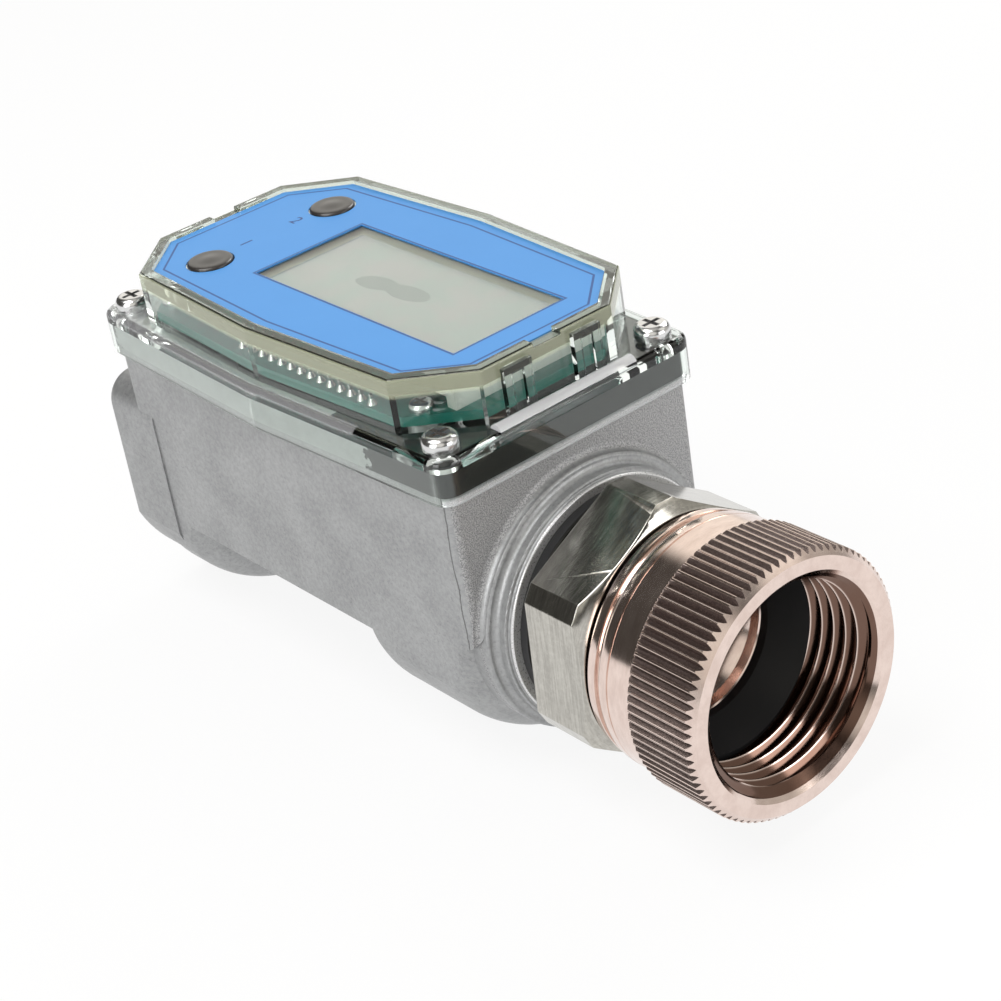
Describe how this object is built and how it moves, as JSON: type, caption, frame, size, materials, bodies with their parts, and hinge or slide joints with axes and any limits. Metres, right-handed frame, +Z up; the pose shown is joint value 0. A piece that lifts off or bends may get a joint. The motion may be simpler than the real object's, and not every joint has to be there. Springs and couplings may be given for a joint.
{
  "type": "digital flow meter",
  "caption": "In-line turbine flow meter with a battery display under a clear cover, a cast tube body with a threaded inlet, and a knurled swivel nut on its outlet.",
  "frame": {"origin": "midway between the inlet face and the mouth of the swivel nut, on the plane of the feet", "axes": "+X along the flow, from the inlet to the swivel nut; +Z up, towards the display; Y across"},
  "size_m": [0.1394, 0.0528, 0.0661],
  "materials": {
    "cast_aluminium": "satin, as cast",
    "clear_plastic": "clear, faint green tint",
    "black_rubber": "matte",
    "blue_label": "satin film",
    "screw_steel": "bright",
    "board_green": "satin",
    "component_black": "matte",
    "display_grey": "gloss",
    "frame_plastic": "matte",
    "tinned_metal": "bright",
    "button_dark": "gloss",
    "plunger_plastic": "matte",
    "holder_black": "matte",
    "cell_jacket": "satin",
    "bobbin_plastic": "matte",
    "copper_wire": "enamelled",
    "turbine_plastic": "satin",
    "bush_plastic": "matte",
    "shaft_steel": "ground",
    "nickel_plate": "nickel plated, brushed",
    "rose_plate": "rose gold plated, polished"
  },
  "bodies": {
    "meter": {"meter_body": "cast_aluminium", "clear_cover": "clear_plastic", "cover_gasket": "black_rubber", "face_label": "blue_label", "cover_screws": "screw_steel", "circuit_board": "board_green", "board_screws": "screw_steel", "main_chip": "component_black", "filter_coil": "component_black", "display_glass": "display_grey", "display_frame": "frame_plastic", "display_pins": "tinned_metal", "header_pins": "tinned_metal", "mode_switch": "component_black", "set_switch": "component_black", "cell_holder": "holder_black", "cells": "cell_jacket", "cell_contacts": "tinned_metal", "cell_springs": "tinned_metal", "coil_bobbin": "bobbin_plastic", "coil_winding": "copper_wire", "rotor_shaft": "shaft_steel", "inlet_support": "turbine_plastic", "outlet_support": "turbine_plastic", "inlet_retaining_ring": "shaft_steel", "outlet_retaining_ring": "shaft_steel", "bushing_seal": "black_rubber", "hex_bushing": "nickel_plate", "tailpiece": "rose_plate"},
    "rotor": {"rotor": "turbine_plastic", "rotor_bushes": "bush_plastic"},
    "nut": {"swivel_nut": "rose_plate", "hose_washer": "black_rubber"},
    "mode_button": {"mode_button": "button_dark", "mode_plunger": "plunger_plastic"},
    "set_button": {"set_button": "button_dark", "set_plunger": "plunger_plastic"}
  },
  "joints": [
    {"name": "rotor_spin", "type": "hinge", "parent": "meter", "child": "rotor", "pos_m": [-0.0172, 0, 0.024], "axis": [1, 0, 0], "continuous": true},
    {"name": "nut_swivel", "type": "hinge", "parent": "meter", "child": "nut", "pos_m": [0.05, 0, 0.024], "axis": [1, 0, 0], "continuous": true},
    {"name": "mode_press", "type": "slide", "parent": "meter", "child": "mode_button", "axis": [0, 0, -1], "range_m": [0, 0.0006], "stiffness_N_per_m": 600, "springref_m": -0.0002},
    {"name": "set_press", "type": "slide", "parent": "meter", "child": "set_button", "axis": [0, 0, -1], "range_m": [0, 0.0006], "stiffness_N_per_m": 600, "springref_m": -0.0002}
  ]
}
